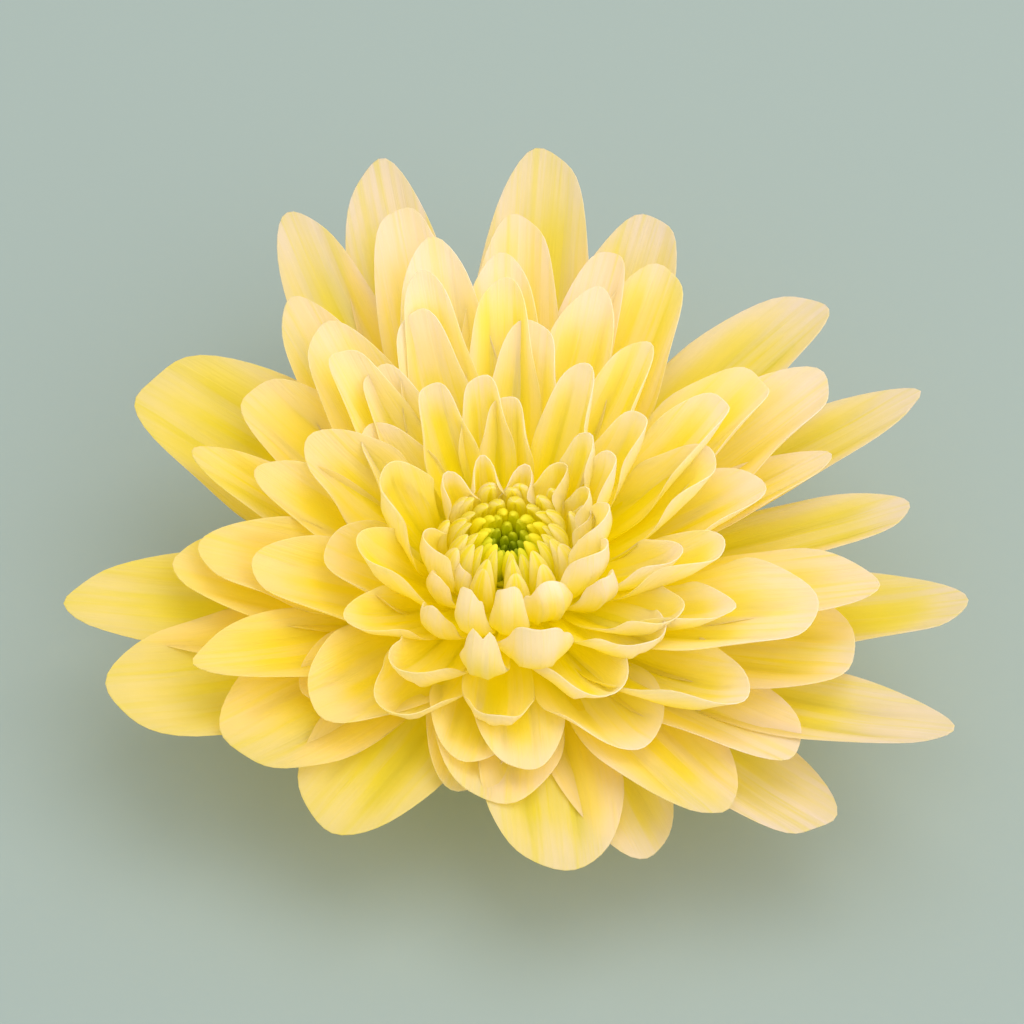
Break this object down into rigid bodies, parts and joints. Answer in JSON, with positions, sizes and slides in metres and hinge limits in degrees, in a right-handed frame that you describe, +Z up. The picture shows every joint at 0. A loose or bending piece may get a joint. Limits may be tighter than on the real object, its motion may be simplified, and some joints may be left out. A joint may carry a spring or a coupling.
{
  "type": "single chrysanthemum bloom",
  "caption": "Yellow decorative chrysanthemum bloom head with layered strap-shaped florets round a tight green heart, on a short cut stalk end.",
  "frame": {"origin": "middle of the flat cut under the stalk end, on the surface that the bloom stands on", "axes": "+Z up along the bloom's axis, -Y towards the side that the picture looks at, +X to that view's right"},
  "size_m": [0.0772, 0.0717, 0.0274],
  "materials": {
    "ray_floret": "soft matt petal, golden yellow with cream edges",
    "heart_floret": "soft matt, lime to dark green",
    "green_stalk": "matt plant green with paler bract edges"
  },
  "bodies": {
    "root": {"ray_florets": "ray_floret", "heart_florets": "heart_floret", "stalk_and_involucre": "green_stalk"}
  },
  "joints": []
}
